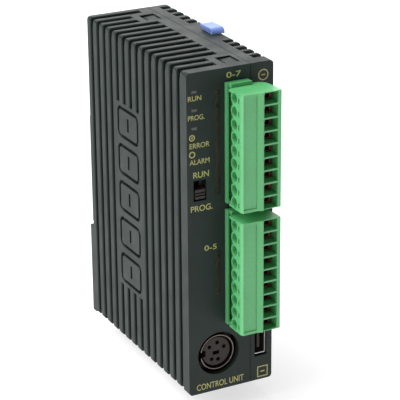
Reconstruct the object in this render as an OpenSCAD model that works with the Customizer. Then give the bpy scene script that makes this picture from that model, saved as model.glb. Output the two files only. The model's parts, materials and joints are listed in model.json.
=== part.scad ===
// Slim programmable controller for a 35 mm rail: a ribbed case in two shells, two pull-off
// terminal plugs, a mode switch, indicator windows, a tool port, a USB socket, two expansion
// hooks and a sprung rail lever, with the boards and components that the case holds.
// Frame: the origin is the centre of the rail seat on the rear face, +X is right as seen from
// the front, the front face looks towards -Y, and +Z is up.
// The modules measure from the case's lower left rear edge, and from_corner() moves them there.

/* [Case] */
// Width of the case along the rail
case_w = 25; // [25:0.1:25.6]
// Height of the case
case_h = 90; // [90:0.5:92]
// Depth of the case, from the rail seat to the front face
case_d = 60; // [60:0.5:62]
// Distance from the left side to the joint between the two shells
seam_x = 18.4; // [18.3:0.05:18.5]
// Width of the visible joint between the shells
seam_gap = 0.14; // [0.1:0.02:0.2]
// Radius of the long edges at the top and the bottom
edge_r = 1; // [0.6:0.1:1.2]

/* [Ribs] */
// Number of upright grooves on the left side
groove_count = 14; // [12:1:14]
// Distance from one groove to the next
groove_pitch = 4.03; // [4:0.01:4.05]
// Width of a groove
groove_w = 1.4; // [1.2:0.1:1.6]
// Depth of a groove on the sides
groove_depth = 1.1; // [0.9:0.05:1.2]
// Width of a groove on the top
top_groove_w = 2; // [1.6:0.1:2.2]
// Depth of a groove on the top
top_groove_depth = 2; // [1.6:0.1:2.2]
// Radius of the rib edges at the mouth of a groove
mouth_r = 0.4; // [0.2:0.05:0.45]

/* [Terminals] */
// Number of poles of each terminal plug
poles = 9; // [8:1:9]
// Distance from one pole to the next
pole_pitch = 3.5; // [3.45:0.01:3.5]
// How far the terminal plugs stand in front of the front face
plug_reach = 9.5; // [9.2:0.1:10]

/* [Moving parts] */
// Travel of the mode switch
switch_travel = 2; // [1.6:0.1:2]
// Travel of the expansion hooks
hook_travel = 3; // [2:0.1:3]
// Travel of the rail lever
lever_travel = 3; // [2.5:0.1:3]

/* [Hidden] */
$fn = 48;

// Walls of the case
front = -case_d;
front_wall = 2;
side_wall = 2.2;
cover_wall = 1.6;
top_wall = 3;
rear_wall = 2;
strip_d = 4; // the plain strip between the last groove and the front face
rib_foot = 0.3; // the ribs end this far above the foot of the front strip
lip = 0.7; // thickness of the cover's lip inside the main case
lip_gap = 0.1;
lip_reach = 0.6;

// Rail seat, for a 35 mm rail with flanges 1 mm thick
rail_z = case_h / 2;
rail_half = 17.5;
rail_slot = 1.2; // from the seat to the hook lips
seat_relief = 0.3; // the rear face round the seat lies this far behind it
lip_overlap = 1.5; // how far a hook lip covers the rail's edge
rear_hook_reach = 2.8;
bump_d = 1.8;
bump_top = rail_z - rail_half - 0.1;
seat_low = rail_z - rail_half + lip_overlap + 0.2;
seat_high = rail_z + rail_half - lip_overlap;

// Panel between the shortened grooves
panel_first = 4;
panel_last = 7;
panel_low = 17;
panel_high = 71;
engrave_w = 1;
engrave_depth = 0.9;

// Terminal headers and plugs
header_x = [10.9, 17.6];
header_foot = [19.3, 53.65];
header_h = poles * pole_pitch + 1;
header_wall = [0.55, 0.9]; // left and right
header_rim = front - 2.3;
header_step = 1; // the left wall's rim stands this far back
header_back = front + 6.9;
header_floor = 1.4;
plug_lift = 0.05;
plug_x = [10.7, 22];
plug_h = poles * pole_pitch;
plug_front = front - plug_reach;
pin_x = (header_x[0] + header_x[1]) / 2;
pin_w = 0.7;
pin_hole_r = 0.55;
pin_row_y = header_back + 1.6;
screw_y = plug_front + 4.1;
cage_front = plug_front + 3;
cage_rear = plug_front + 6.6;
screw_depth = 2.2; // from the left side to the screw heads
plug_strip_x = 15.1;
wire_x = [16.75, 21.05];
wire_h = 3.05;

// Boards
board_t = 1;
cpu_x = [18.3, 18.3 + board_t];
power_x = [13.8, 13.8 + board_t];
board_low = 4.2;
board_high = case_h - 4.2;
board_rear = -3.2;
board_front = front + 3;
power_front = front + 10.5;
indicator_y = front + 10;
board_left = side_wall + 0.3;
post_r = 1.4;

// Front panel features
switch_window = [[1.8, 55.4], [5.5, 61.1]];
switch_rest_z = 56;
led_x = 2.2;
led_z = [75.2, 80, 84.9];
window_x = [8.1, 9.5];
port_x = 8.8;
port_z = 10.8;
port_well_r = 6.15;
port_face = front + 4; // the shield stands on this face of the housing
port_rear = front + 13;
port_half = 6.1; // half the side of the housing
port_core_r = 4.1;
port_insert_front = front + 1.4;
shield_r = 5;
shield_t = 0.3;
shield_front = front + 0.8;
usb_x = [19.8, 23.4];
usb_z = [7.5, 15.3];
usb_front = front + 0.7;

// Expansion side
locate_r = 1.25;
locate_depth = 3;
locate_y = [-7, front + 5];
locate_z = [20, 74];
socket_y = [-36.3, -29.7];
socket_z = [32, 58];
hook_x = [21.5, 25.3];
hook_leg_x = [21.9, 23.1];
hook_leg_y = [-32.3, -27.3];
hook_ear_z = case_h - 7.5;

// Rail lever
lever_x = 9.2;
lever_w = 9;
lever_flange_w = 11;
lever_gap = 0.2;
ledge_z = [8, 9.2];
spring_y = 0.3;
spring_top = ledge_z[1] + 7.8 + lever_travel;

// ---- Shared shapes ----

module from_corner() translate([-case_w / 2, 0, -case_h / 2]) children();

// Box between two opposite corners
module block(low, high) translate(low) cube(high - low);

// Sketch of X and Z, extruded towards the front from y_rear
module along_y(y_rear, length) translate([0, y_rear, 0])
    rotate([90, 0, 0]) linear_extrude(length) children();

// Sketch of Y and Z, extruded to the right from x_left
module along_x(x_left, length) translate([x_left, 0, 0])
    rotate([90, 0, 90]) linear_extrude(length) children();

// Cylinder along +Y from a point
module rod_y(at, r, length) translate(at) rotate([-90, 0, 0]) cylinder(r = r, h = length);

// Cylinder along +X from a point
module rod_x(at, r, length) translate(at) rotate([0, 90, 0]) cylinder(r = r, h = length);

module rounded_rect(low, high, r) {
    translate([low[0] + r, low[1]]) square([high[0] - low[0] - 2 * r, high[1] - low[1]]);
    translate([low[0], low[1] + r]) square([high[0] - low[0], high[1] - low[1] - 2 * r]);
    for (u = [low[0] + r, high[0] - r], v = [low[1] + r, high[1] - r])
        translate([u, v]) circle(r);
}

// Points of an arc, for a polygon
function arc(centre, r, from, to, steps = 6) =
    [for (i = [0 : steps]) let (a = from + (to - from) * i / steps)
        centre + r * [cos(a), sin(a)]];

// What is drawn at the top of the case, turned over to its foot
module at_foot() translate([0, 0, case_h + rib_foot]) mirror([0, 0, 1]) children();

function groove_y(i) = -3 - groove_pitch * i;

// ---- Case ----

module groove_section(w, depth) {
    translate([-w / 2, -1]) square([w, depth + 1]);
    difference() {
        translate([-w / 2 - mouth_r, -1]) square([w + 2 * mouth_r, 1 + mouth_r]);
        for (s = [-1, 1]) translate([s * (w / 2 + mouth_r), mouth_r]) circle(mouth_r);
    }
}

module side_groove(y, z_low, z_high) translate([0, y, z_low])
    linear_extrude(z_high - z_low) rotate(-90) groove_section(groove_w, groove_depth);

// A top groove is wider than the side groove that it meets, and keeps to its rear edge
module top_groove(y, x_left, x_right, depth)
    translate([x_left, y - (top_groove_w - groove_w) / 2, case_h])
        rotate([0, 90, 0]) linear_extrude(x_right - x_left) rotate(-90) groove_section(top_groove_w, depth);

// The grooves beside the snap windows are shorter
function top_groove_end(i) = len(search(i, [1, 2, 12, 13])) > 0 ? 10.4 : 14.8;

module left_grooves() for (i = [0 : groove_count - 1]) {
    y = groove_y(i);
    if (i < panel_first || i > panel_last) side_groove(y, -1, case_h + 1);
    else {
        side_groove(y, -1, panel_low);
        side_groove(y, panel_high, case_h + 1);
    }
    top_groove(y, -1, top_groove_end(i), top_groove_depth);
    at_foot() top_groove(y, -1, top_groove_end(i), groove_depth);
    block([-1, y - groove_w / 2, case_h - 3], [side_wall - 0.4, y + groove_w / 2, case_h]);
}

// Short grooves over the upper and lower right edges, clear of the expansion hook
module right_grooves() for (i = [0 : 4], y = [-3 - 4 * i, -39.8 - 3.7 * i]) {
    top_groove(y, 21.3, case_w + 1, top_groove_depth);
    at_foot() top_groove(y, 21.3, case_w + 1, groove_depth);
    for (z = [[-1, 12], [case_h - 12, case_h + 1]])
        translate([case_w, 0, 0]) mirror([1, 0, 0]) side_groove(y, z[0], z[1]);
}

// Through slots in the floors of three grooves
module vents() for (v = [[8, 43.3, 48.1], [8, 21.3, 27.5], [11, 21.6, 27.5]])
    block([-1, groove_y(v[0]) - 0.55, v[1]], [side_wall + 1, groove_y(v[0]) + 0.55, v[2]]);

// A plain decoration on the panel: five rounded frames, each with a short bar inside
module panel_engraving() {
    mid = (groove_y(panel_first) + groove_y(panel_last)) / 2;
    size = [13, 9];
    pitch = (panel_high - panel_low) / 5;
    along_x(-1, 1 + engrave_depth) for (i = [0 : 4]) translate([mid, panel_low + pitch * (i + 0.5)]) {
        difference() {
            rounded_rect(-size / 2, size / 2, 2);
            rounded_rect(-size / 2 + [engrave_w, engrave_w], size / 2 - [engrave_w, engrave_w],
                2 - engrave_w);
        }
        square([engrave_w, 3.8], center = true);
    }
}

module case_outline(foot) rounded_rect([0, foot], [case_w, case_h], edge_r);

module case_envelope() {
    along_y(-seat_relief, case_d - seat_relief - strip_d + 1) case_outline(rib_foot);
    along_y(front + strip_d, strip_d) case_outline(0);
    block([0, -1, seat_low], [case_w, 0, seat_high]);
}

module case_cavity() block([side_wall, front + front_wall, top_wall],
    [case_w - cover_wall, -rear_wall, case_h - top_wall]);

// Where the cover's snap catches show: one pair near the front and one near the rear
snap_y = [[-12.4, -7], [-57, -51.4]];

snap_x = [12.5, 17];
snap_roof = 2; // wall left above a snap tongue

module snap_windows() for (y = snap_y) {
    block([snap_x[0], y[0], case_h - top_wall - 1], [snap_x[1], y[1], case_h + 1]);
    block([snap_x[0], y[0], case_h - top_wall - 1], [seam_x + 1, y[1], case_h - snap_roof]);
}

module header_openings() for (z = header_foot)
    block([header_x[0] - 0.05, front - 1, z - 0.05],
        [header_x[1] + 0.05, front + front_wall + 0.1, z + header_h + 0.05]);

module indicator_openings() {
    for (z = led_z) block([led_x - 0.8, front - 1, z - 0.4], [led_x + 0.8, front + 3, z + 0.4]);
    for (z = window_z) block([window_x[0] - 0.05, front - 1, z[0] - 0.05],
        [window_x[1] + 0.05, front + 3, z[1] + 0.05]);
    block([switch_window[0][0], front - 1, switch_window[0][1]],
        [switch_window[1][0], front + 3, switch_window[1][1]]);
}

module lever_channel() {
    wide = lever_flange_w / 2 + lever_gap;
    narrow = lever_w / 2 + lever_gap;
    block([lever_x - wide, -0.6, -1], [lever_x + wide, 0.5, bump_top + 1]);
    block([lever_x - narrow, -0.6, -1], [lever_x + narrow, bump_d + 1, bump_top + 1]);
}

// Two raised bars at the rear, left and right of the rail lever, that hold it in its channel
module lever_guides() color([0.29, 0.32, 0.31]) from_corner() difference() {
    block([0, -seat_relief, rib_foot], [case_w, bump_d, bump_top]);
    lever_channel();
}

module upper_rail_lug() {
    block([3.4, -1, rail_z + rail_half + 0.2], [15.4, rear_hook_reach, rail_z + rail_half + 3]);
    block([3.4, rail_slot, seat_high], [15.4, rear_hook_reach, rail_z + rail_half + 0.3]);
}

inlet_x = [3.6, 12.8];
inlet_y = [-37, -31];
inlet_pin_x = [5.8, 8.2, 10.6];
inlet_top = 11;

module main_case() color([0.29, 0.32, 0.31]) from_corner() difference() {
    union() {
        difference() {
            intersection() {
                case_envelope();
                block([-1, front - 1, -1], [seam_x - seam_gap / 2, 5, case_h + 1]);
            }
            case_cavity();
            lever_channel();
        }
        upper_rail_lug();
        block([lever_x - 1.3, -1, ledge_z[0]], [lever_x + 1.3, 1.2, ledge_z[1]]);
        for (p = power_posts) rod_x([1.6, p[0], p[1]], post_r, power_x[0] - 1.6);
    }
    left_grooves();
    vents();
    panel_engraving();
    snap_windows();
    at_foot() snap_windows();
    header_openings();
    indicator_openings();
    rod_y([port_x, front - 1, port_z], port_well_r, front_wall + 1.5);
    block([inlet_x[0] - 0.1, inlet_y[0] - 0.1, -1], [inlet_x[1] + 0.1, inlet_y[1] + 0.1, top_wall + 1]);
}

// One catch on its tongue, which runs from the cover's top wall into the main case's
module snap_tongue(y) {
    nose = snap_x[0] + 0.4;
    heel = snap_x[1] - 0.2;
    low = case_h - top_wall + 0.05;
    block([nose, y[0] + 0.4, low], [seam_x + 1, y[1] - 0.4, case_h - snap_roof - 0.1]);
    // the catch slopes down to its nose
    along_y(y[1] - 0.4, y[1] - y[0] - 0.8) polygon([
        [nose, low], [heel, low], [heel, case_h - 0.3], [nose + 0.9, case_h - 0.5], [nose, case_h - 1.4]
    ]);
}

// A low rim round the cover's edge, rooted in its walls, that enters the main case
module cover_lip() {
    root_x = seam_x + seam_gap / 2;
    difference() {
        union() {
            block([seam_x - lip_reach, front + front_wall + lip_gap, top_wall + lip_gap],
                [root_x + 0.1, -rear_wall - lip_gap, case_h - top_wall - lip_gap]);
            block([root_x, front + 1, top_wall - 1], [seam_x + 1, -rear_wall + 1, case_h - top_wall + 1]);
        }
        block([0, front + front_wall + lip_gap + lip, top_wall + lip_gap + lip],
            [case_w, -rear_wall - lip_gap - lip, case_h - top_wall - lip_gap - lip]);
    }
}

module hook_slot() block([hook_leg_x[0] - 0.12, hook_leg_y[0] - 0.12, case_h - top_wall - 1],
    [hook_leg_x[1] + 0.12, hook_leg_y[1] + 0.12, case_h + 1]);

module side_cover() color([0.29, 0.32, 0.31]) from_corner() difference() {
    union() {
        difference() {
            intersection() {
                case_envelope();
                block([seam_x + seam_gap / 2, front - 1, -1], [case_w + 1, 5, case_h + 1]);
            }
            case_cavity();
        }
        cover_lip();
        for (y = snap_y) {
            snap_tongue(y);
            at_foot() snap_tongue(y);
        }
        for (y = locate_y, z = locate_z) rod_x([cpu_x[1], y, z], 2.4, case_w - 1 - cpu_x[1]);
        // frame round the expansion socket
        block([22.4, socket_y[0] - 1, socket_z[0] - 1],
            [case_w - 1, socket_y[1] + 1, socket_z[1] + 1]);
    }
    right_grooves();
    for (y = locate_y, z = locate_z) rod_x([case_w - locate_depth, y, z], locate_r, 5);
    block([20, socket_y[0] - 0.1, socket_z[0] - 0.1], [case_w + 1, socket_y[1] + 0.1, socket_z[1] + 0.1]);
    block([usb_x[0] - 0.05, front - 1, usb_z[0] - 0.4], [usb_x[1] + 0.1, front + 4, usb_z[1] + 0.4]);
    hook_slot();
    at_foot() hook_slot();
}

// ---- Terminals ----

module header_pin(i, foot) {
    z = foot + plug_lift + pole_pitch * (i + 0.5);
    half = pin_w / 2;
    block([pin_x - half, front - 0.8, z - half], [pin_x + half, pin_row_y + half, z + half]);
    block([pin_x - half, pin_row_y - half, z - half], [cpu_x[1] + 0.6, pin_row_y + half, z + half]);
}

module header_pins(foot) color([0.8, 0.76, 0.6]) from_corner()
    for (i = [0 : poles - 1]) header_pin(i, foot);

module header(foot) color([0.3, 0.66, 0.42]) from_corner() difference() {
    block([header_x[0], header_rim, foot], [header_x[1], header_back, foot + header_h]);
    block([header_x[0] + header_wall[0], header_rim - 1, foot + 0.8],
        [header_x[1] - header_wall[1], header_back - header_floor, foot + header_h - 1.1]);
    block([header_x[0] - 1, header_rim - 1, foot - 1],
        [header_x[0] + header_wall[0] + 0.1, header_rim + header_step, foot + header_h + 1]);
    for (i = [0 : poles - 1]) rod_y([pin_x, header_back - 2, foot + plug_lift + pole_pitch * (i + 0.5)],
        pin_hole_r, 3);
}

// Outline of the part of a plug that hangs beside its header, rounded at the rear right
module plug_outline() polygon(concat(
    [[plug_x[0] + 1.2, screw_y], [plug_x[0] + 1.2, header_rim - 0.15],
        [header_x[1] + 0.15, header_rim - 0.15], [header_x[1] + 0.15, front - 1.2]],
    arc([plug_x[1] - 3, front - 3.8], 2.6, 90, 12),
    [[plug_x[1], front - 6.6], [plug_x[1], screw_y - 1]]
));

// All that is cut out of a plug at one pole, whose middle is at z = 0
module pole_cuts() {
    // wire entry and cage pocket
    block([wire_x[0], plug_front - 1, -wire_h / 2], [wire_x[1], cage_rear + 0.2, wire_h / 2]);
    // screw head and shank
    rod_x([plug_x[0] - 1, screw_y, 0], 1.4, screw_depth + 2.4);
    rod_x([plug_x[0], screw_y, 0], 0.95, wire_x[0] - plug_x[0] + 0.1);
    // test slot
    block([plug_x[0] - 1, plug_front + 1.5, -0.8], [plug_x[0] + 0.7, plug_front + 2.05, 0.6]);
    // contact
    block([pin_x - 0.8, cage_rear - 0.6, -1.1], [pin_x + 0.8, front + 6, 1.1]);
    block([pin_x - 0.8, cage_rear - 0.6, -1.1], [wire_x[0] + 0.1, cage_rear + 0.2, 1.1]);
}

// The front part of a plug: a chamfered left edge, and a strip that rises beside the wire entries
module plug_front_outline() polygon([
    [plug_x[0], screw_y], [plug_x[0], plug_front + 0.9], [plug_x[0] + 0.4, plug_front],
    [plug_strip_x, plug_front], [wire_x[0] - 0.3, plug_front - 0.5], [wire_x[0], plug_front - 0.5],
    [wire_x[0], plug_front], [plug_x[1], plug_front], [plug_x[1], screw_y]
]);

module plug(foot) color([0.36, 0.72, 0.47]) from_corner()
    translate([0, 0, foot + plug_lift]) difference() {
        union() {
            linear_extrude(plug_h) plug_front_outline();
            linear_extrude(plug_h) plug_outline();
            for (i = [0 : poles - 1])
                rod_x([plug_x[0], screw_y, pole_pitch * (i + 0.5)], pole_pitch / 2, 2);
            for (z = [0, plug_h - 0.7])
                block([plug_x[0], screw_y - 1, z], [plug_x[0] + 2, header_rim - 0.3, z + 0.7]);
            block([header_x[0] + 1.5, header_rim - 0.3, 0.85],
                [header_x[1] - 1, front + 5.1, plug_h - 0.35]);
        }
        block([plug_x[0] + 0.5, plug_front - 1, 0.75], [plug_strip_x, plug_front + 0.3, plug_h - 0.75]);
        for (i = [0 : poles - 1]) translate([0, 0, pole_pitch * (i + 0.5)]) pole_cuts();
    }

module plug_screws(foot) color([0.62, 0.64, 0.62]) from_corner() for (i = [0 : poles - 1])
    translate([0, screw_y, foot + plug_lift + pole_pitch * (i + 0.5)]) difference() {
        union() {
            rod_x([plug_x[0] + screw_depth, 0, 0], 1.3, 1.25);
            rod_x([plug_x[0] + screw_depth + 1, 0, 0], 0.85, 5.2);
        }
        for (turn = [25, 115]) rotate([turn, 0, 0])
            block([plug_x[0], -0.95, -0.2], [plug_x[0] + screw_depth + 0.6, 0.95, 0.2]);
    }

module clamp() {
    low = [wire_x[0] + 0.2, cage_front, -1.3];
    high = [wire_x[1] - 0.2, cage_rear, 1.3];
    difference() {
        block(low, high);
        block([low[0] + 0.8, cage_front - 1, low[2] + 0.4], [high[0] - 0.8, cage_rear + 1, high[2] - 0.4]);
        rod_x([wire_x[0], screw_y, 0], 0.9, 1.2);
    }
    // strip to the contact, and the contact's two leaves
    block([pin_x - 0.6, cage_rear - 0.4, -0.9], [low[0] + 0.1, cage_rear, 0.9]);
    for (x = [pin_x - 0.6, pin_x + 0.4])
        block([x, cage_rear - 0.1, -0.9], [x + 0.2, front + 4.6, 0.9]);
}

module plug_clamps(foot) color([0.6, 0.42, 0.28]) from_corner() for (i = [0 : poles - 1])
    translate([0, 0, foot + plug_lift + pole_pitch * (i + 0.5)]) clamp();

module upper_header() header(header_foot[1]);
module lower_header() header(header_foot[0]);
module upper_header_pins() header_pins(header_foot[1]);
module lower_header_pins() header_pins(header_foot[0]);
module upper_plug() plug(header_foot[1]);
module lower_plug() plug(header_foot[0]);
module upper_plug_screws() plug_screws(header_foot[1]);
module lower_plug_screws() plug_screws(header_foot[0]);
module upper_plug_clamps() plug_clamps(header_foot[1]);
module lower_plug_clamps() plug_clamps(header_foot[0]);

// ---- Front panel ----

switch_stem_x = [3, 4.3];
switch_stem_h = 1.4;
switch_head = [[2.2, 5.1], [0, 2.6]];

module mode_switch_body() color([0.1, 0.1, 0.1]) from_corner() difference() {
    block([2.4, front + front_wall + 0.1, 53.5], [7.4, indicator_y - 0.05, 63]);
    block([switch_stem_x[0] - 0.1, front, switch_rest_z + 0.5],
        [switch_stem_x[1] + 0.1, front + 5, switch_rest_z + 0.7 + switch_stem_h + switch_travel]);
}

module mode_switch_knob() color([0.12, 0.11, 0.11]) from_corner() translate([0, front, switch_rest_z])
    difference() {
        union() {
            block([switch_head[0][0], -0.2, 0], [switch_head[0][1], front_wall - 0.1, switch_head[1][1]]);
            block([switch_stem_x[0], 0, 0.6], [switch_stem_x[1], 4.6, 0.6 + switch_stem_h]);
        }
        for (z = [0.75, 1.5]) block([0, -1, z], [9, 0.2, z + 0.35]);
    }

module status_light_guides() color([0.75, 0.78, 0.78, 0.6]) from_corner() for (z = led_z) {
    block([led_x - 0.75, front, z - 0.35], [led_x + 0.75, front + front_wall + 0.4, z + 0.35]);
    block([side_wall + 0.1, front + front_wall + 0.1, z - 0.6],
        [led_x + 1.4, indicator_y - 0.9, z + 0.6]);
}

module status_leds() color([0.9, 0.9, 0.8]) from_corner() for (z = led_z)
    block([board_left, indicator_y - 0.7, z - 0.5], [led_x + 1.4, indicator_y, z + 0.5]);

window_z = [[27.5, 40.5], [56.5, 84.5]];

module led_window(z) color([0.2, 0.08, 0.09, 0.8]) from_corner() {
    block([window_x[0], front + 0.1, z[0]], [window_x[1], front + front_wall + 0.1, z[1]]);
    block([window_x[0] - 0.5, front + front_wall + 0.1, z[0] - 0.7],
        [window_x[1] + 0.5, front + front_wall + 0.9, z[1] + 0.7]);
}

module input_led_window() led_window(window_z[1]);
module output_led_window() led_window(window_z[0]);

channel_led_z = concat([for (i = [0 : 5]) 28.6 + 2.16 * i], [for (i = [0 : 7]) 58.5 + 3.5 * i]);

module channel_leds() color([0.85, 0.3, 0.25]) from_corner() for (z = channel_led_z)
    block([window_x[0] + 0.2, indicator_y - 0.7, z - 0.8], [window_x[1] - 0.2, indicator_y, z + 0.8]);

// ---- Tool port and USB socket ----

// Three holes on an upper arc and two below
port_holes = [for (a = [22, 82, 142, 238, 284]) 2.5 * [cos(a), sin(a)]];

module port_contact_holes() for (h = port_holes)
    rod_y([port_x + h[0], front, port_z + h[1]], 0.55, 14, $fn = 16);

module tool_port_housing() color([0.15, 0.13, 0.13]) from_corner() difference() {
    block([port_x - port_half, port_face, port_z - port_half],
        [port_x + port_half - 0.2, port_rear, port_z + port_half]);
    port_contact_holes();
}

// Insert that stands on the housing inside the shield, with its keyway and middle slot
module tool_port_insert() color([0.15, 0.13, 0.13]) from_corner() difference() {
    rod_y([port_x, port_insert_front, port_z], port_core_r, port_face - port_insert_front);
    block([port_x - 4.9, front, port_z - 0.9], [port_x - 3.2, port_face, port_z + 0.9]);
    block([port_x - 1, front, port_z - 0.9], [port_x + 0.9, port_face, port_z + 0.1]);
    port_contact_holes();
}

module tool_port_shield() color([0.62, 0.6, 0.58]) from_corner() difference() {
    rod_y([port_x, shield_front, port_z], shield_r, port_face - shield_front);
    rod_y([port_x, front, port_z], shield_r - shield_t, 12);
    block([port_x - 7, front, port_z - 0.8], [port_x - 4, front + 3, port_z + 0.8]);
}

module tool_port_contacts() color([0.8, 0.68, 0.3]) from_corner() for (h = port_holes)
    rod_y([port_x + h[0], front + 3.6, port_z + h[1]], 0.45, 10.4);

module usb_shell() color([0.75, 0.75, 0.74]) from_corner() difference() {
    block([usb_x[0], usb_front, usb_z[0]], [usb_x[1], front + 9.6, usb_z[1]]);
    block([usb_x[0] + 0.3, front, usb_z[0] + 0.3], [usb_x[1] - 0.3, front + 9.2, usb_z[1] - 0.3]);
}

module usb_tongue() color([0.1, 0.1, 0.1]) from_corner() {
    mid = (usb_x[0] + usb_x[1]) / 2;
    block([mid - 0.4, usb_front + 0.7, usb_z[0] + 1.4], [mid + 0.4, front + 8, usb_z[1] - 1.4]);
    block([usb_x[0] + 0.35, front + 7.4, usb_z[0] + 0.35], [usb_x[1] - 0.35, front + 9.15, usb_z[1] - 0.35]);
}

// ---- Boards and components ----

power_posts = [[-6, 7], [-6, 82], [-46.5, 82], [-46.5, 22]];

module cpu_board() color([0.1, 0.38, 0.22]) from_corner() difference() {
    block([cpu_x[0], board_front, board_low], [cpu_x[1], board_rear, board_high]);
    for (foot = header_foot, i = [0 : poles - 1])
        rod_x([cpu_x[0] - 1, pin_row_y, foot + plug_lift + pole_pitch * (i + 0.5)], pin_hole_r, 3);
}

module power_board() color([0.1, 0.38, 0.22]) from_corner() difference() {
    block([power_x[0], power_front, board_low], [power_x[1], board_rear, board_high]);
    // corner cut off behind the tool port
    block([power_x[0] - 1, power_front - 1, board_low - 1],
        [power_x[1] + 1, port_rear + 0.1, port_z + port_half + 0.1]);
    for (i = [0 : 2]) rod_x([power_x[0] - 1, inlet_mid, inlet_bend(i)], pin_hole_r, 3);
}

module indicator_board() color([0.1, 0.38, 0.22]) from_corner()
    block([board_left, indicator_y, 22], [9.8, indicator_y + board_t, board_high]);

module board_connector() color([0.12, 0.12, 0.12]) from_corner() {
    block([power_x[1], -26, 30], [cpu_x[0], -22, 56]);
    block([power_x[1], -27, 34], [power_x[1] + 1.6, -21, 52]);
}

module processor_chip() color([0.08, 0.08, 0.08]) from_corner() {
    block([cpu_x[1] + 0.3, -26, 62], [cpu_x[1] + 1.7, -12, 76]);
    for (i = [0 : 10], side = [-1, 1]) translate([cpu_x[1], -19, 69]) {
        block([0, min(side * 6.8, side * 8), i - 5.2], [0.7, max(side * 6.8, side * 8), i - 4.8]);
        block([0, i - 5.2, min(side * 6.8, side * 8)], [0.7, i - 4.8, max(side * 6.8, side * 8)]);
    }
}

module memory_chips() color([0.08, 0.08, 0.08]) from_corner() for (z = [24, 42]) {
    block([cpu_x[1] + 0.2, -20, z], [cpu_x[1] + 1.5, -14, z + 12]);
    for (i = [0 : 7]) block([cpu_x[1], -21, z + 1 + 1.4 * i], [cpu_x[1] + 0.6, -13, z + 1.4 + 1.4 * i]);
}

module crystal() color([0.75, 0.75, 0.75]) from_corner()
    along_x(cpu_x[1], 3) rounded_rect([-46, 66], [-42, 77], 1.9);

module expansion_socket() color([0.1, 0.1, 0.1]) from_corner() difference() {
    block([cpu_x[1], socket_y[0], socket_z[0]], [case_w - 0.8, socket_y[1], socket_z[1]]);
    block([cpu_x[1] + 1.2, -34.2, socket_z[0] + 1.5], [case_w, -31.8, socket_z[1] - 1.5]);
}

module expansion_contacts() color([0.85, 0.7, 0.3]) from_corner()
    for (i = [0 : 16], y = [-34.15, -32.15])
        block([cpu_x[1] + 1.25, y, 34.1 + 1.35 * i], [case_w - 1.6, y + 0.3, 34.7 + 1.35 * i]);

module output_relays() color([0.85, 0.83, 0.76]) from_corner() for (i = [0 : 5])
    along_x(3.2, power_x[0] - 3.2) rounded_rect([-46, 28 + 7.2 * i], [-28.5, 34.5 + 7.2 * i], 0.5);

// The core's middle leg stands between two windows, and the winding goes round it
transformer_x = [5, 12.4];
transformer_y = [-25, -11];
transformer_z = [52, 66];
leg_y = [-20, -16];

module transformer_core() color([0.2, 0.2, 0.21]) from_corner() {
    difference() {
        block([transformer_x[0], transformer_y[0], transformer_z[0]],
            [transformer_x[1], transformer_y[1], transformer_z[1]]);
        for (y = [[transformer_y[0] + 1.8, leg_y[0]], [leg_y[1], transformer_y[1] - 1.8]])
            block([0, y[0], transformer_z[0] + 2.2], [20, y[1], transformer_z[1] - 2.2]);
    }
    for (y = [transformer_y[0], transformer_y[1] - 1])
        block([transformer_x[1] - 0.1, y, transformer_z[0]], [power_x[0], y + 1, transformer_z[1]]);
}

module transformer_winding() color([0.75, 0.6, 0.2]) from_corner() difference() {
    block([transformer_x[0] - 1, transformer_y[0] + 2, transformer_z[0] + 2.4],
        [transformer_x[1] + 1, transformer_y[1] - 2, transformer_z[1] - 2.4]);
    block([transformer_x[0] - 0.1, leg_y[0] - 0.1, 0], [transformer_x[1] + 0.1, leg_y[1] + 0.1, 90]);
}

module electrolytic_capacitors() color([0.12, 0.14, 0.2]) from_corner() for (z = [18, 29, 40]) {
    rod_x([3.6, -16, z], 4, power_x[0] - 3.6);
    rod_x([power_x[0] - 1.8, -16, z], 4.2, 1.2);
}

module fuse() color([0.3, 0.2, 0.15]) from_corner() rod_x([7, -42, 10], 2.2, power_x[0] - 7);

inlet_mid = (inlet_y[0] + inlet_y[1]) / 2;
function inlet_bend(i) = inlet_top + 3.4 - 1.2 * i;

module power_inlet() color([0.88, 0.87, 0.82]) from_corner() difference() {
    block([inlet_x[0], inlet_y[0], 0.9], [inlet_x[1], inlet_y[1], inlet_top]);
    block([inlet_x[0] + 0.8, inlet_y[0] + 0.8, 0], [inlet_x[1] - 0.8, inlet_y[1] - 0.8, 8]);
    for (x = inlet_pin_x) block([x - 0.4, inlet_mid - 0.4, 7], [x + 0.4, inlet_mid + 0.4, inlet_top + 1]);
}

module power_inlet_pins() color([0.8, 0.76, 0.6]) from_corner() for (i = [0 : 2]) {
    x = inlet_pin_x[i];
    half = pin_w / 2;
    top = inlet_bend(i) + half;
    block([x - half, inlet_mid - half, 2.6], [x + half, inlet_mid + half, top]);
    block([x - half, inlet_mid - half, top - pin_w], [power_x[1] + 0.6, inlet_mid + half, top]);
}

// ---- Expansion hooks ----

// The upper hook's hood, in a sketch of Y and Z: a front pillar that curves into a roof
module hood(thickness) {
    roof = case_h + 1.55;
    bend_r = 1.4;
    bend = [-31.9, roof - bend_r];
    rear = -26.4;
    foot = case_h + 0.05;
    polygon(concat(
        [[bend[0] - bend_r, foot]], arc(bend, bend_r, 180, 90),
        [[rear, roof - 0.15], [rear, roof - 0.15 - thickness]], arc(bend, bend_r - thickness, 90, 180),
        [[bend[0] - bend_r + thickness, foot]]
    ));
}

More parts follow.
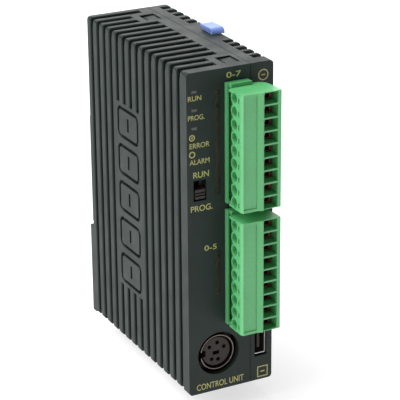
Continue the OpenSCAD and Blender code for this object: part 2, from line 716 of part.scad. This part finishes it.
module expansion_hook() {
    along_x(hook_x[0], hook_x[1] - hook_x[0]) hood(0.6);
    // end wall, the rib between the two notches, and the base plate
    along_x(hook_x[1] - 0.8, 0.8) hood(1.3);
    block([hook_x[0] + 0.7, -30.3, case_h + 0.05], [hook_x[1] - 0.5, -29, case_h + 1.1]);
    block([hook_x[0] + 0.3, hook_leg_y[0] - 0.3, case_h + 0.05],
        [hook_x[1] - 0.5, hook_leg_y[1] + 0.3, case_h + 0.4]);
    // leg through the top wall, with ears that stop it
    block([hook_leg_x[0], hook_leg_y[0], hook_ear_z], [hook_leg_x[1], hook_leg_y[1], case_h + 0.2]);
    block([hook_leg_x[0], hook_leg_y[0] - 1.3, hook_ear_z],
        [hook_leg_x[1], hook_leg_y[1] + 1.3, case_h - top_wall - hook_travel - 0.2]);
}

module upper_expansion_hook() color([0.42, 0.52, 0.88]) from_corner() expansion_hook();
module lower_expansion_hook() color([0.42, 0.52, 0.88]) from_corner() at_foot() expansion_hook();

// ---- Rail lever ----

module din_lever() color([0.12, 0.12, 0.12]) from_corner() difference() {
    union() {
        block([lever_x - lever_flange_w / 2, -0.4, 4.6], [lever_x + lever_flange_w / 2, 0.3, 24]);
        block([lever_x - lever_w / 2, -0.4, -3], [lever_x + lever_w / 2, bump_d - 0.1, bump_top]);
        // nose: its lip covers the rail's lower edge, and its slope lets the rail snap in
        along_x(lever_x - lever_w / 2, lever_w) polygon([
            [rail_slot, bump_top - 3.6], [rear_hook_reach - 0.6, bump_top - 3.6],
            [rear_hook_reach, bump_top - 2.4], [rear_hook_reach, bump_top + 0.4],
            [rail_slot + 0.5, bump_top + lip_overlap + 0.1], [rail_slot, bump_top + lip_overlap + 0.1]
        ]);
    }
    block([lever_x - 1.6, -1, ledge_z[0] - 0.05], [lever_x + 1.6, 5, spring_top]);
    block([lever_x - 2.5, -1, -2.3], [lever_x + 2.5, 5, -1]);
}

// One ring of the spring's wire, for a sweep along its helix
spring_turns = 7;
spring_r = 0.62;
spring_wire_r = 0.17;
ring_sides = 6;
rings_per_turn = 12;
function coil_ring(k) = let (
    a = 360 * k / rings_per_turn,
    z = ledge_z[1] + 0.25 + (spring_top - ledge_z[1] - 0.5) * k / (spring_turns * rings_per_turn)
) [for (s = [0 : ring_sides - 1]) let (b = 360 * s / ring_sides, r = spring_r + spring_wire_r * cos(b))
    [r * cos(a), r * sin(a), z + spring_wire_r * sin(b)]];

module lever_spring() color([0.7, 0.7, 0.7]) from_corner() translate([lever_x, spring_y, 0]) {
    last = spring_turns * rings_per_turn;
    polyhedron(
        points = [for (k = [0 : last]) each coil_ring(k)],
        faces = concat(
            [[for (s = [0 : ring_sides - 1]) s]],
            [for (k = [0 : last - 1], s = [0 : ring_sides - 1]) let (n = (s + 1) % ring_sides)
                [k * ring_sides + s, (k + 1) * ring_sides + s, (k + 1) * ring_sides + n, k * ring_sides + n]],
            [[for (s = [0 : ring_sides - 1]) last * ring_sides + ring_sides - 1 - s]]
        )
    );
}

main_case();
side_cover();
lever_guides();
upper_header();
lower_header();
upper_header_pins();
lower_header_pins();
upper_plug();
lower_plug();
upper_plug_screws();
lower_plug_screws();
upper_plug_clamps();
lower_plug_clamps();
mode_switch_body();
mode_switch_knob();
status_light_guides();
status_leds();
input_led_window();
output_led_window();
channel_leds();
tool_port_housing();
tool_port_insert();
tool_port_shield();
tool_port_contacts();
usb_shell();
usb_tongue();
cpu_board();
power_board();
indicator_board();
board_connector();
processor_chip();
memory_chips();
crystal();
expansion_socket();
expansion_contacts();
output_relays();
transformer_core();
transformer_winding();
electrolytic_capacitors();
fuse();
power_inlet();
power_inlet_pins();
upper_expansion_hook();
lower_expansion_hook();
din_lever();
lever_spring();
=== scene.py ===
"""Looks of a slim rail-mounted controller: materials, softened edges, printed legend, spring coil, floor, lights
and camera.

Every length is in metres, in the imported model's own frame, and MM turns a number of millimetres into metres.
"""
import json
import math

import bpy
from mathutils import Matrix, Vector


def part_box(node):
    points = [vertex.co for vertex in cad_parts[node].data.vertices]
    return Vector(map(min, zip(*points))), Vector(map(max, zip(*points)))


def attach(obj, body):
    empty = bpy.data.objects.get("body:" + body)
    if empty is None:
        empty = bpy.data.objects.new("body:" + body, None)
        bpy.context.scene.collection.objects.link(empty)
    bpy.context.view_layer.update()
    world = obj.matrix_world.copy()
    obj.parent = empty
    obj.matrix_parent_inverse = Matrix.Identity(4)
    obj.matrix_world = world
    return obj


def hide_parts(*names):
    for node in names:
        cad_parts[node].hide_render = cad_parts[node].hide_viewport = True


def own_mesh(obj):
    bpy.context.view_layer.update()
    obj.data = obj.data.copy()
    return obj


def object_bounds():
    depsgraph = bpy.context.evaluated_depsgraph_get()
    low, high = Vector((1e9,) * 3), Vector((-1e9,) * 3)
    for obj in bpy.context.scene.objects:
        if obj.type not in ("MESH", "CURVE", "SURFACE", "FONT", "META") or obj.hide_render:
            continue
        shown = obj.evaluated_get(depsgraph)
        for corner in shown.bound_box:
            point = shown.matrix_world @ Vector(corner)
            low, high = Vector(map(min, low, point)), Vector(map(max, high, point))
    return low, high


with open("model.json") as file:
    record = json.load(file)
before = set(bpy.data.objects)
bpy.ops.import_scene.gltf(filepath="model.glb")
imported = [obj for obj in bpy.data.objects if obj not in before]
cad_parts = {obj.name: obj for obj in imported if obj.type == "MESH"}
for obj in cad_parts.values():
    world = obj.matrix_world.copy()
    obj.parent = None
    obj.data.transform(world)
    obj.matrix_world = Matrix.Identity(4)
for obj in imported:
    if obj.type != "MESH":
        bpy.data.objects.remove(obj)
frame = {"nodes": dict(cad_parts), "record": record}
cad_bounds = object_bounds()

MM = 0.001


# ---- Node graph helpers ----

def new_material(name):
    """A material with its node tree and its shader."""
    material = bpy.data.materials.new(name)
    material.use_nodes = True
    return material, material.node_tree, material.node_tree.nodes["Principled BSDF"]


def add(tree, kind, **settings):
    """A new node of that kind, with its named settings."""
    node = tree.nodes.new(kind)
    for key, value in settings.items():
        setattr(node, key, value)
    return node


def link(tree, value, socket):
    """Sets a socket from a number, a colour or another node's output."""
    if isinstance(value, bpy.types.NodeSocket):
        tree.links.new(value, socket)
    else:
        socket.default_value = value


def place(tree, stretch=(1, 1, 1)):
    """The row frame's coordinates, stretched along its axes."""
    mapping = add(tree, "ShaderNodeMapping")
    mapping.inputs["Scale"].default_value = stretch
    tree.links.new(add(tree, "ShaderNodeTexCoord").outputs["Object"], mapping.inputs["Vector"])
    return mapping.outputs["Vector"]


def noise(tree, feature, detail=3.0, stretch=(1, 1, 1)):
    """Noise from 0 to 1 whose features are about that many metres across."""
    node = add(tree, "ShaderNodeTexNoise")
    node.inputs["Scale"].default_value = 1 / feature
    node.inputs["Detail"].default_value = detail
    tree.links.new(place(tree, stretch), node.inputs["Vector"])
    return node.outputs["Fac"]


def span(tree, value, low, high, start=0.3, end=0.7):
    """value from start to end, mapped to low to high."""
    node = add(tree, "ShaderNodeMapRange")
    for name, number in (("From Min", start), ("From Max", end), ("To Min", low), ("To Max", high)):
        node.inputs[name].default_value = number
    tree.links.new(value, node.inputs["Value"])
    return node.outputs["Result"]


COLOUR_A, COLOUR_B, COLOUR_RESULT = 6, 7, 2  # the colour sockets of a mix node


def mix(tree, factor, first, second):
    """A colour from first to second."""
    node = add(tree, "ShaderNodeMix", data_type="RGBA", blend_type="MIX")
    link(tree, factor, node.inputs["Factor"])
    link(tree, first, node.inputs[COLOUR_A])
    link(tree, second, node.inputs[COLOUR_B])
    return node.outputs[COLOUR_RESULT]


def math_node(tree, operation, first, second):
    """One arithmetic step on two values."""
    node = add(tree, "ShaderNodeMath", operation=operation)
    link(tree, first, node.inputs[0])
    link(tree, second, node.inputs[1])
    return node.outputs[0]


def bump(tree, shader, height, depth):
    """Relief of that depth on the shader's surface."""
    node = add(tree, "ShaderNodeBump")
    node.inputs["Strength"].default_value = 1.0
    node.inputs["Distance"].default_value = depth
    tree.links.new(height, node.inputs["Height"])
    tree.links.new(node.outputs["Normal"], shader.inputs["Normal"])


def shade(colour, factor):
    """A colour made darker or lighter, with its alpha at 1."""
    return tuple(min(1.0, c * factor) for c in colour[:3]) + (1.0,)


# ---- Materials ----

def moulded(name, colour, rough, grain=0.22 * MM, depth=0.02 * MM, spread=0.12, specular=0.5, coat=0.0):
    """Moulded plastic: cloudy colour, fine spark-eroded grain, and gloss that changes with handling."""
    material, tree, shader = new_material(name)
    cloud = noise(tree, 14 * MM, 4)
    speck = noise(tree, grain, 2)
    tone = mix(tree, span(tree, cloud, 0, 1), shade(colour, 1 - spread), shade(colour, 1 + spread))
    tone = mix(tree, span(tree, speck, 0, 0.5), tone, shade(colour, 0.82))
    tree.links.new(tone, shader.inputs["Base Color"])
    gloss = math_node(tree, "ADD", span(tree, noise(tree, 5 * MM, 3), rough - 0.06, rough + 0.05),
                      span(tree, speck, -0.03, 0.03))
    tree.links.new(gloss, shader.inputs["Roughness"])
    shader.inputs["Specular IOR Level"].default_value = specular
    shader.inputs["Coat Weight"].default_value = coat
    shader.inputs["Coat Roughness"].default_value = 0.2
    bump(tree, shader, speck, depth)
    return material


def metal(name, colour, rough, streak=(1, 1, 1), tarnish=None):
    """Plated metal with fine drawn streaks and patches of tarnish."""
    material, tree, shader = new_material(name)
    lines = noise(tree, 0.6 * MM, 3, streak)
    patches = noise(tree, 3 * MM, 4)
    dull = tarnish or shade(colour, 0.6)
    tone = mix(tree, span(tree, patches, 0, 0.7, 0.45, 0.75), shade(colour, 1), dull)
    tree.links.new(tone, shader.inputs["Base Color"])
    shader.inputs["Metallic"].default_value = 1.0
    tree.links.new(span(tree, lines, rough - 0.08, rough + 0.12), shader.inputs["Roughness"])
    bump(tree, shader, lines, 0.008 * MM)
    return material


def smoked(name, colour):
    """Smoked clear window, with faint flow marks in its tone."""
    material, tree, shader = new_material(name)
    flow = noise(tree, 2.5 * MM, 3, (1, 1, 0.3))
    tree.links.new(mix(tree, span(tree, flow, 0, 1), shade(colour, 0.7), shade(colour, 1.4)),
                   shader.inputs["Base Color"])
    tree.links.new(span(tree, noise(tree, 1.2 * MM), 0.12, 0.24), shader.inputs["Roughness"])
    shader.inputs["Coat Weight"].default_value = 0.4
    shader.inputs["Coat Roughness"].default_value = 0.08
    bump(tree, shader, flow, 0.01 * MM)
    return material


def light_guide(name, colour):
    """Milky clear light guide."""
    material, tree, shader = new_material(name)
    haze = noise(tree, 0.9 * MM, 3)
    tree.links.new(mix(tree, span(tree, haze, 0, 1), shade(colour, 0.8), shade(colour, 1.15)),
                   shader.inputs["Base Color"])
    tree.links.new(span(tree, haze, 0.22, 0.38), shader.inputs["Roughness"])
    shader.inputs["Subsurface Weight"].default_value = 0.15
    shader.inputs["Subsurface Radius"].default_value = (0.6 * MM, 0.6 * MM, 0.6 * MM)
    shader.inputs["Subsurface Scale"].default_value = 1.0
    bump(tree, shader, haze, 0.006 * MM)
    return material


def circuit_board(name, mask, copper):
    """Solder mask over copper tracks that run square to each other, with vias between them."""
    material, tree, shader = new_material(name)
    grid = add(tree, "ShaderNodeTexVoronoi", distance="MANHATTAN", feature="F1")
    grid.inputs["Scale"].default_value = 1 / (2.4 * MM)
    tree.links.new(place(tree), grid.inputs["Vector"])
    tracks = span(tree, math_node(tree, "PINGPONG", grid.outputs["Distance"], 0.16), 0, 1, 0.09, 0.11)
    tone = mix(tree, tracks, shade(mask, 0.75), mix(tree, 0.45, shade(mask, 1.35), shade(copper, 0.6)))
    tree.links.new(mix(tree, span(tree, noise(tree, 9 * MM), 0, 0.3), tone, shade(mask, 0.6)),
                   shader.inputs["Base Color"])
    tree.links.new(span(tree, noise(tree, 0.4 * MM), 0.28, 0.42), shader.inputs["Roughness"])
    bump(tree, shader, tracks, 0.03 * MM)
    return material


def wound(name, wire, tape):
    """Layers of fine varnished wire with bands of tape."""
    material, tree, shader = new_material(name)
    turns = add(tree, "ShaderNodeTexWave", wave_type="BANDS", bands_direction="X")
    turns.inputs["Scale"].default_value = 0.32 / MM
    turns.inputs["Distortion"].default_value = 0.6
    tree.links.new(place(tree), turns.inputs["Vector"])
    bands = span(tree, noise(tree, 6 * MM, 1, (1.5, 0.05, 0.05)), 0, 1, 0.48, 0.52)
    tone = mix(tree, turns.outputs["Fac"], shade(wire, 0.45), shade(wire, 1.2))
    tree.links.new(mix(tree, bands, tone, shade(tape, 1)), shader.inputs["Base Color"])
    tree.links.new(span(tree, turns.outputs["Fac"], 0.3, 0.5, 0, 1), shader.inputs["Roughness"])
    bump(tree, shader, turns.outputs["Fac"], 0.05 * MM)
    return material


def ink(name, colour):
    """Screen-printed ink, a little uneven, with worn specks."""
    material, tree, shader = new_material(name)
    worn = noise(tree, 0.5 * MM, 3)
    tree.links.new(mix(tree, span(tree, worn, 0, 1), shade(colour, 0.8), shade(colour, 1.1)),
                   shader.inputs["Base Color"])
    tree.links.new(span(tree, worn, 0.5, 0.65), shader.inputs["Roughness"])
    bump(tree, shader, worn, 0.004 * MM)
    return material


CASE = (0.0187, 0.0273, 0.025)
TERMINAL = (0.104, 0.45, 0.165)
MATERIALS = {
    "case_plastic": moulded("case_plastic", CASE, 0.5, spread=0.1, specular=0.22),
    "terminal_plastic": moulded("terminal_plastic", TERMINAL, 0.38, 0.5 * MM, 0.008 * MM, 0.07, coat=0.2),
    "header_plastic": moulded("header_plastic", shade(TERMINAL, 0.9), 0.4, 0.5 * MM, 0.008 * MM, 0.07, coat=0.2),
    "contact_metal": metal("contact_metal", (0.83, 0.72, 0.42), 0.28),
    "screw_metal": metal("screw_metal", (0.62, 0.63, 0.6), 0.34, (1, 1, 6)),
    "clamp_metal": metal("clamp_metal", (0.26, 0.1, 0.07), 0.45, (6, 1, 1), (0.12, 0.05, 0.04, 1)),
    "black_plastic": moulded("black_plastic", (0.03, 0.02, 0.019), 0.42, 0.3 * MM, 0.012 * MM, 0.2, specular=0.3),
    "light_guide": light_guide("light_guide", (0.075, 0.07, 0.073)),
    "smoked_window": smoked("smoked_window", (0.035, 0.016, 0.02)),
    "channel_led": light_guide("channel_led", (0.5, 0.1, 0.07)),
    "port_metal": metal("port_metal", (0.66, 0.63, 0.6), 0.3, (1, 6, 1)),
    "shield_metal": metal("shield_metal", (0.2, 0.165, 0.145), 0.34, (1, 6, 1)),
    "port_insulator": moulded("port_insulator", (0.03, 0.021, 0.017), 0.45, 0.3 * MM, 0.012 * MM, 0.15,
                              specular=0.28),
    "board": circuit_board("board", (0.02, 0.2, 0.08), (0.6, 0.32, 0.12)),
    "chip": moulded("chip", (0.022, 0.022, 0.024), 0.5, 0.12 * MM, 0.01 * MM, 0.15),
    "relay_case": moulded("relay_case", (0.72, 0.69, 0.6), 0.42, 0.4 * MM, 0.01 * MM, 0.05),
    "ferrite": moulded("ferrite", (0.05, 0.05, 0.055), 0.62, 0.2 * MM, 0.03 * MM, 0.2),
    "winding": wound("winding", (0.62, 0.3, 0.08), (0.72, 0.58, 0.12)),
    "capacitor_sleeve": moulded("capacitor_sleeve", (0.03, 0.045, 0.13), 0.28, 0.8 * MM, 0.01 * MM, 0.1),
    "hook_plastic": moulded("hook_plastic", (0.205, 0.31, 0.72), 0.4, 0.4 * MM, 0.01 * MM, 0.08),
    "lever_plastic": moulded("lever_plastic", (0.03, 0.03, 0.032), 0.45, 0.25 * MM, 0.015 * MM, 0.15),
    "spring_steel": metal("spring_steel", (0.6, 0.6, 0.6), 0.25, (1, 1, 4)),
}
LEGEND_INK = ink("legend_ink", (0.42, 0.4, 0.14))

# Each node takes the material of its slot in the record
for part in frame["record"]["subparts"]:
    node = frame["nodes"][part["node"]]
    node.data.materials.clear()
    node.data.materials.append(MATERIALS[part["material_slot"]])


# ---- Softened edges ----

EDGE_RADIUS = {  # in mm
    "main_case": 0.14, "side_cover": 0.14, "lever_guides": 0.14,
    "upper_header": 0.1, "lower_header": 0.1, "upper_plug": 0.1, "lower_plug": 0.1,
    "mode_switch_knob": 0.1, "mode_switch_body": 0.05,
    "upper_expansion_hook": 0.15, "lower_expansion_hook": 0.15, "din_lever": 0.15,
    "tool_port_insert": 0.06, "tool_port_shield": 0.08, "usb_shell": 0.06, "usb_tongue": 0.06,
    "upper_plug_screws": 0.05, "lower_plug_screws": 0.05, "upper_plug_clamps": 0.04, "lower_plug_clamps": 0.04,
    "expansion_socket": 0.08, "power_inlet": 0.1, "output_relays": 0.15, "electrolytic_capacitors": 0.15,
    "processor_chip": 0.06, "memory_chips": 0.06, "transformer_core": 0.1, "transformer_winding": 0.3,
}


def soften(node, radius):
    """Rounds a CAD node's sharp edges in its modifiers, so that they catch the light."""
    weld = node.modifiers.new("weld", "WELD")
    weld.merge_threshold = 0.002 * MM
    bevel = node.modifiers.new("edge_rounding", "BEVEL")
    bevel.width = radius
    bevel.segments = 2
    bevel.limit_method = "ANGLE"
    bevel.angle_limit = math.radians(40)
    bevel.use_clamp_overlap = True
    normals = node.modifiers.new("even_shading", "WEIGHTED_NORMAL")
    normals.keep_sharp = True


for name, radius_mm in EDGE_RADIUS.items():
    soften(frame["nodes"][name], radius_mm * MM)


# ---- Printed legend ----

case_low, case_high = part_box("main_case")
INK_PROUD = 0.012 * MM


def on_front(x_mm, z_mm):
    """A point just proud of the front face, measured from its lower left corner."""
    return Vector((case_low.x + x_mm * MM, case_low.y - INK_PROUD, case_low.z + z_mm * MM))


def finish_mark(name, mesh, at):
    """Prints a flat mesh on the front face at that point."""
    mark = bpy.data.objects.new(name, mesh)
    bpy.context.collection.objects.link(mark)
    mark.location = at
    mesh.materials.append(LEGEND_INK)
    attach(mark, "housing")


def word(name, text, x_mm, z_mm, width_mm, height_mm):
    """A generic word, fitted to a box centred on that point of the front face."""
    curve = bpy.data.curves.new(name, "FONT")
    curve.body = text
    curve.offset = 0.012
    sketch = bpy.data.objects.new(name + "_sketch", curve)
    bpy.context.collection.objects.link(sketch)
    bpy.context.view_layer.update()
    mesh = bpy.data.meshes.new_from_object(sketch)
    bpy.data.objects.remove(sketch)
    low = Vector((min(v.co.x for v in mesh.vertices), min(v.co.y for v in mesh.vertices), 0))
    high = Vector((max(v.co.x for v in mesh.vertices), max(v.co.y for v in mesh.vertices), 0))
    middle = (low + high) / 2
    fit = Matrix.Diagonal((width_mm * MM / (high.x - low.x), height_mm * MM / (high.y - low.y), 1, 1))
    mesh.transform(Matrix.Rotation(math.radians(90), 4, "X") @ fit @ Matrix.Translation(-middle))
    finish_mark(name, mesh, on_front(x_mm, z_mm))


def outline(corners, radius):
    """Points round a regular shape; 4 corners make an upright square."""
    turn = math.pi / 4 if corners == 4 else 0
    return [Vector((radius * math.cos(turn + 2 * math.pi * i / corners), 0,
                    radius * math.sin(turn + 2 * math.pi * i / corners))) for i in range(corners)]


def band(name, x_mm, z_mm, outer_mm, inner_mm, corners=32, bar=None):
    """A flat ring or square frame on the front face, with an optional bar (width, height) inside it."""
    points = outline(corners, outer_mm * MM) + outline(corners, inner_mm * MM)
    faces = [(i, (i + 1) % corners, corners + (i + 1) % corners, corners + i) for i in range(corners)]
    if bar:
        first = len(points)
        half = Vector((bar[0] * MM / 2, 0, bar[1] * MM / 2))
        points += [Vector((sx * half.x, 0, sz * half.z)) for sx, sz in ((-1, -1), (1, -1), (1, 1), (-1, 1))]
        faces.append(tuple(range(first, first + 4)))
    mesh = bpy.data.meshes.new(name)
    mesh.from_pydata(points, [], faces)
    finish_mark(name, mesh, on_front(x_mm, z_mm))


WORDS = [  # name, text, centre from the lower left corner, width and height, in mm
    ("run_light_word", "RUN", 2.35, 83.2, 3.8, 1.35),
    ("program_light_word", "PROG.", 2.75, 78.1, 4.7, 1.35),
    ("error_word", "ERROR", 3.65, 70.6, 5.7, 1.4),
    ("alarm_word", "ALARM", 3.6, 66.2, 5.7, 1.4),
    ("run_switch_word", "RUN", 4.0, 62.6, 4.5, 1.65),
    ("program_switch_word", "PROG.", 4.1, 53.4, 6.3, 1.65),
    ("input_range", "0-7", 13.5, 87.9, 4.2, 1.55),
    ("output_range", "0-5", 6.6, 41.9, 3.6, 1.5),
    ("unit_word", "CONTROL UNIT", 9.3, 1.9, 14.2, 1.8),
]
for entry in WORDS:
    word(*entry)
band("error_ring", 1.5, 72.8, 0.85, 0.55, bar=(0.45, 0.45))
band("alarm_ring", 1.5, 68.3, 0.9, 0.58)
band("earth_ring", 22.05, 86.45, 1.5, 1.2, bar=(1.1, 0.3))
band("unit_square", 22.2, 2.3, 2.3, 1.85, corners=4, bar=(1.3, 0.4))


# ---- Coil of the rail lever's spring ----

WIRE_RADIUS = 0.17 * MM
COIL_TURNS = 7
RINGS_PER_TURN = 24
WIRE_SIDES = 10


def coil():
    """The lever's spring, drawn in round wire."""
    low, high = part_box("lever_spring")
    radius = (high.x - low.x) / 2 - WIRE_RADIUS
    middle = (low + high) / 2
    steps = COIL_TURNS * RINGS_PER_TURN
    points = []
    for step in range(steps + 1):
        turn = math.tau * step / RINGS_PER_TURN
        level = low.z + WIRE_RADIUS + (high.z - low.z - 2 * WIRE_RADIUS) * step / steps
        for side in range(WIRE_SIDES):
            around = math.tau * side / WIRE_SIDES
            reach = radius + WIRE_RADIUS * math.cos(around)
            points.append((middle.x + reach * math.cos(turn), middle.y + reach * math.sin(turn),
                           level + WIRE_RADIUS * math.sin(around)))
    faces = []
    for step in range(steps):
        here, following = step * WIRE_SIDES, (step + 1) * WIRE_SIDES
        for side in range(WIRE_SIDES):
            beside = (side + 1) % WIRE_SIDES
            faces.append((here + side, following + side, following + beside, here + beside))
    faces.append(tuple(range(WIRE_SIDES)))
    faces.append(tuple(reversed(range(steps * WIRE_SIDES, (steps + 1) * WIRE_SIDES))))
    mesh = bpy.data.meshes.new("lever_coil")
    mesh.from_pydata(points, [], faces)
    mesh.materials.append(MATERIALS["spring_steel"])
    mesh.polygons.foreach_set("use_smooth", [len(face) == 4 for face in faces])
    spring = bpy.data.objects.new("lever_coil", mesh)
    bpy.context.collection.objects.link(spring)
    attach(spring, "housing")
    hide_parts("lever_spring")
    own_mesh(spring)


coil()


# ---- Floor, lights and camera ----

LEVER_TRAVEL = 3 * MM  # the rail lever, pulled down, stays above the floor
FLOOR_HALF = 3.0
AIM = Vector((0, -0.03, 0))  # what the softboxes point at


def floor():
    """A plain pale floor."""
    material, tree, shader = new_material("floor_paint")
    tree.links.new(mix(tree, span(tree, noise(tree, 90 * MM), 0, 1), (0.48, 0.48, 0.475, 1), (0.5, 0.5, 0.5, 1)),
                   shader.inputs["Base Color"])
    shader.inputs["Roughness"].default_value = 0.8
    shader.inputs["Emission Color"].default_value = (1, 1, 1, 1)
    shader.inputs["Emission Strength"].default_value = 0.62
    level = cad_bounds[0][2] - LEVER_TRAVEL - 0.1 * MM
    corners = [(x * FLOOR_HALF, y * FLOOR_HALF, level) for x, y in ((-1, -1), (1, -1), (1, 1), (-1, 1))]
    mesh = bpy.data.meshes.new("floor")
    mesh.from_pydata(corners, [], [(0, 1, 2, 3)])
    mesh.materials.append(material)
    sheet = bpy.data.objects.new("floor", mesh)
    bpy.context.collection.objects.link(sheet)


def softbox(name, at, size, watts):
    """A white rectangular light at that point, turned to the object."""
    light = bpy.data.lights.new(name, "AREA")
    light.shape = "RECTANGLE"
    light.size, light.size_y = size
    light.energy = watts
    lamp = bpy.data.objects.new(name, light)
    bpy.context.collection.objects.link(lamp)
    direction = AIM - Vector(at)
    lamp.matrix_world = Matrix.Translation(at) @ direction.to_track_quat("-Z", "Y").to_matrix().to_4x4()


def skylight(source, strength):
    """A broad, even light from that direction."""
    light = bpy.data.lights.new("skylight", "SUN")
    light.energy = strength
    light.angle = math.radians(50)
    lamp = bpy.data.objects.new("skylight", light)
    bpy.context.collection.objects.link(lamp)
    lamp.matrix_world = (-Vector(source)).to_track_quat("-Z", "Y").to_matrix().to_4x4()


def daylight(strength):
    """Even white light from all round."""
    world = bpy.data.worlds.new("soft_room")
    world.use_nodes = True
    backdrop = world.node_tree.nodes["Background"]
    backdrop.inputs["Color"].default_value = (1, 1, 1, 1)
    backdrop.inputs["Strength"].default_value = strength
    bpy.context.scene.world = world


def camera():
    """A long lens, in front of the object to its left and above."""
    azimuth, elevation, roll = (math.radians(a) for a in (-27.34, 21.71, -0.51))
    distance = 0.5008
    target = Vector((4.99, -33.19, -1.35)) * MM
    back = Vector((math.sin(azimuth) * math.cos(elevation), -math.cos(azimuth) * math.cos(elevation),
                   math.sin(elevation)))
    level_right = Vector((math.cos(azimuth), math.sin(azimuth), 0))
    level_up = back.cross(level_right)
    right = level_right * math.cos(roll) + level_up * math.sin(roll)
    up = level_up * math.cos(roll) - level_right * math.sin(roll)
    lens = bpy.data.cameras.new("camera")
    lens.lens = 164.7
    lens.sensor_width = 36
    lens.clip_start, lens.clip_end = 0.01, 20
    eye = bpy.data.objects.new("camera", lens)
    bpy.context.collection.objects.link(eye)
    eye.matrix_world = Matrix.Translation(target + back * distance) @ Matrix((right, up, back)).transposed().to_4x4()
    bpy.context.scene.camera = eye


floor()
skylight((-0.35, 0.25, 1), 3.6)
softbox("key", (-0.8, -0.05, 0.45), (0.6, 0.6), 4.9)
softbox("rim", (0.5, 1, 0.45), (1.2, 0.8), 6.2)
softbox("fill", (-0.3, -0.9, 0.9), (0.5, 0.5), 1.1)
daylight(0.15)
camera()
bpy.context.scene.view_settings.view_transform = "Standard"
